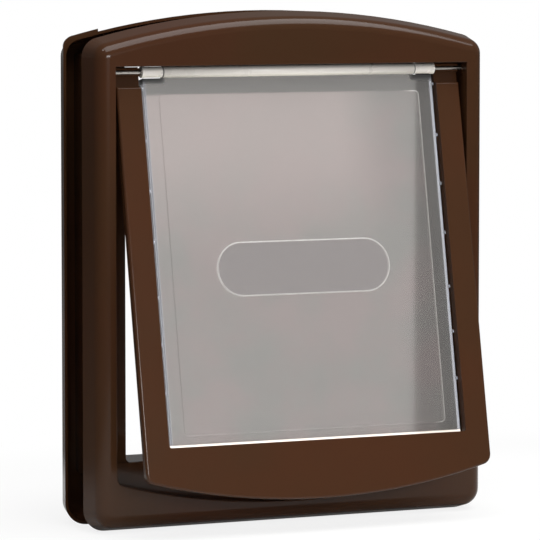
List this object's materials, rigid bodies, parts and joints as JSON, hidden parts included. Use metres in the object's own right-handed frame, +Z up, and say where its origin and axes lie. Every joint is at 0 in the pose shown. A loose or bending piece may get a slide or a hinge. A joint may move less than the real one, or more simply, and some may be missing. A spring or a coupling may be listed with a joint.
{
  "type": "dog flap",
  "caption": "Framed pet door for a household door: a brown outer and inner frame, a tunnel, and a hinged flap whose translucent window swings both ways.",
  "frame": {"origin": "on the door's outer face, in the middle of the outer frame's width and height", "axes": "+X to the right as seen from outside, +Y into the door, +Z up"},
  "size_m": [0.386, 0.1582, 0.456],
  "materials": {
    "brown_plastic": "satin moulded, dark brown",
    "surround_plastic": "satin moulded, dark brown",
    "cap_plastic": "satin moulded, dark brown",
    "window_plastic": "frosted translucent, grey tint, clear edges",
    "bush_plastic": "translucent moulded",
    "rod_steel": "drawn bright steel",
    "washer_steel": "zinc plated",
    "screw_steel": "zinc plated",
    "keeper_steel": "zinc plated",
    "magnet_ferrite": "dull ferrite",
    "pile": "dark pile"
  },
  "bodies": {
    "frame": {"outer_frame": "brown_plastic", "inner_frame": "brown_plastic", "keeper_plate": "keeper_steel", "keeper_rivets": "keeper_steel", "fixing_screw_1": "screw_steel", "fixing_screw_2": "screw_steel", "fixing_screw_3": "screw_steel", "fixing_screw_4": "screw_steel", "screw_cap_1": "cap_plastic", "screw_cap_2": "cap_plastic", "screw_cap_3": "cap_plastic", "screw_cap_4": "cap_plastic"},
    "surround": {"flap_surround": "surround_plastic", "hinge_rod": "rod_steel", "hinge_bush_left": "bush_plastic", "hinge_bush_right": "bush_plastic", "rod_washer_left": "washer_steel", "rod_washer_right": "washer_steel", "closing_magnet": "magnet_ferrite", "pile_strip_left": "pile", "pile_strip_right": "pile", "pile_strip_bottom": "pile"},
    "window": {"flap_window": "window_plastic"}
  },
  "joints": [
    {"name": "surround_hinge", "type": "hinge", "parent": "frame", "child": "surround", "pos_m": [0, -0.013, 0.1755], "axis": [-1, 0, 0], "range_deg": [-11.2, 88.8]},
    {"name": "window_hinge", "type": "hinge", "parent": "surround", "child": "window", "pos_m": [0, -0.013, 0.1755], "axis": [1, 0, 0], "range_deg": [-0.4, 85.6]}
  ]
}
